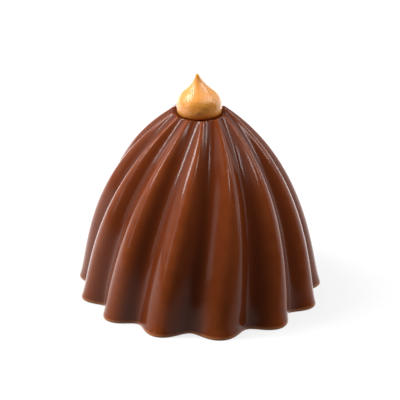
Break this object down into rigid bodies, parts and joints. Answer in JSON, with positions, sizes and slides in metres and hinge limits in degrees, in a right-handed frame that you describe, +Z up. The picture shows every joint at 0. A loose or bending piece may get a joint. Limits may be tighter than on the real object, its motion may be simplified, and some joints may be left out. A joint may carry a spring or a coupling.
{
  "type": "moulded chocolate praline",
  "caption": "Dome of moulded chocolate with twisted flutes and a flat foot, topped with a small piped caramel drop.",
  "frame": {"origin": "centre of the flat foot that the praline rests on", "axes": "+Z up through the drop, -Y towards the front, +X to the right"},
  "size_m": [0.0279, 0.0311, 0.0259],
  "materials": {
    "chocolate": "tempered milk chocolate with a soft satin gloss",
    "caramel": "piped caramel cream, slightly grainy with small soft highlights"
  },
  "bodies": {
    "root": {"chocolate_dome": "chocolate", "caramel_drop": "caramel"}
  },
  "joints": []
}
